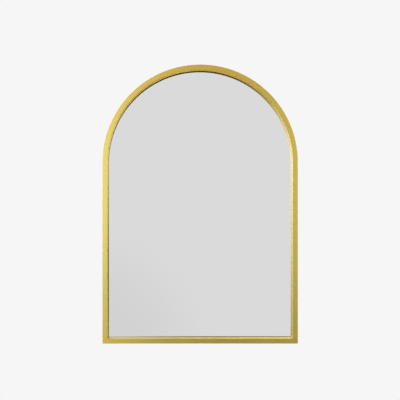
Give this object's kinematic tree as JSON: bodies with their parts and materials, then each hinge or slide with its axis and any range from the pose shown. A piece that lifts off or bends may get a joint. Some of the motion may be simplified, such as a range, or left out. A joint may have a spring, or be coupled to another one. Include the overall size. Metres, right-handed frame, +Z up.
{
  "type": "arched wall mirror",
  "caption": "Wall mirror with a round-arched satin gold aluminium frame, a silvered pane set back in it, turn buttons behind the board and hanging rings.",
  "frame": {"origin": "centre of the arch on the wall plane, midway between the two places where wall hooks carry the raised hanger rings", "axes": "+Z up along the legs, +Y into the wall, +X along the wall; the mirror looks along -Y"},
  "size_m": [0.7, 0.036, 1],
  "materials": {
    "gold_profile": "satin brushed, gold anodised",
    "key_metal": "mill",
    "black_steel": "black oxide",
    "black_foam": "closed-cell foam",
    "silvered_glass": "polished",
    "film": "matt",
    "white_foam": "closed-cell foam",
    "fibre_board": "raw fibre board",
    "black_rubber": "matt",
    "zinc_steel": "zinc plated"
  },
  "bodies": {
    "mirror": {"frame_arch": "gold_profile", "frame_bottom_rail": "gold_profile", "corner_key_left": "key_metal", "corner_key_right": "key_metal", "corner_grub_screws": "black_steel", "glazing_tape": "black_foam", "mirror_glass": "silvered_glass", "safety_film": "film", "foam_strips": "white_foam", "backing_board": "fibre_board", "setting_blocks": "black_rubber", "edge_spacers": "black_rubber", "turn_button_screws": "zinc_steel", "hanger_plate_left": "zinc_steel", "hanger_plate_right": "zinc_steel", "hanger_screws": "zinc_steel", "wall_bumpers": "black_rubber"},
    "turn_button_bottom_left": {"turn_button_bottom_left": "zinc_steel"},
    "turn_button_bottom_right": {"turn_button_bottom_right": "zinc_steel"},
    "turn_button_left_low": {"turn_button_left_low": "zinc_steel"},
    "turn_button_left_high": {"turn_button_left_high": "zinc_steel"},
    "turn_button_right_low": {"turn_button_right_low": "zinc_steel"},
    "turn_button_right_high": {"turn_button_right_high": "zinc_steel"},
    "turn_button_arch_left": {"turn_button_arch_left": "zinc_steel"},
    "turn_button_arch_top": {"turn_button_arch_top": "zinc_steel"},
    "turn_button_arch_right": {"turn_button_arch_right": "zinc_steel"},
    "hanger_ring_left": {"hanger_ring_left": "zinc_steel"},
    "hanger_ring_right": {"hanger_ring_right": "zinc_steel"}
  },
  "joints": [
    {"name": "turn_bottom_left", "type": "hinge", "parent": "mirror", "child": "turn_button_bottom_left", "pos_m": [-0.18, -0.011, -0.6435], "axis": [0, 1, 0], "range_deg": [-90, 90]},
    {"name": "turn_bottom_right", "type": "hinge", "parent": "mirror", "child": "turn_button_bottom_right", "pos_m": [0.18, -0.011, -0.6435], "axis": [0, 1, 0], "range_deg": [-90, 90]},
    {"name": "turn_left_low", "type": "hinge", "parent": "mirror", "child": "turn_button_left_low", "pos_m": [-0.3435, -0.011, -0.53], "axis": [0, 1, 0], "range_deg": [-90, 90]},
    {"name": "turn_left_high", "type": "hinge", "parent": "mirror", "child": "turn_button_left_high", "pos_m": [-0.3435, -0.011, -0.25], "axis": [0, 1, 0], "range_deg": [-90, 90]},
    {"name": "turn_right_low", "type": "hinge", "parent": "mirror", "child": "turn_button_right_low", "pos_m": [0.3435, -0.011, -0.53], "axis": [0, 1, 0], "range_deg": [-90, 90]},
    {"name": "turn_right_high", "type": "hinge", "parent": "mirror", "child": "turn_button_right_high", "pos_m": [0.3435, -0.011, -0.25], "axis": [0, 1, 0], "range_deg": [-90, 90]},
    {"name": "turn_arch_left", "type": "hinge", "parent": "mirror", "child": "turn_button_arch_left", "pos_m": [-0.24289, -0.011, 0.24289], "axis": [0, 1, 0], "range_deg": [-90, 90]},
    {"name": "turn_arch_top", "type": "hinge", "parent": "mirror", "child": "turn_button_arch_top", "pos_m": [0, -0.011, 0.3435], "axis": [0, 1, 0], "range_deg": [-90, 90]},
    {"name": "turn_arch_right", "type": "hinge", "parent": "mirror", "child": "turn_button_arch_right", "pos_m": [0.24289, -0.011, 0.24289], "axis": [0, 1, 0], "range_deg": [-90, 90]},
    {"name": "swing_left_ring", "type": "hinge", "parent": "mirror", "child": "hanger_ring_left", "pos_m": [-0.324, -0.00772, -0.02], "axis": [1, 0, 0], "range_deg": [0, 180]},
    {"name": "swing_right_ring", "type": "hinge", "parent": "mirror", "child": "hanger_ring_right", "pos_m": [0.324, -0.00772, -0.02], "axis": [1, 0, 0], "range_deg": [0, 180]}
  ]
}
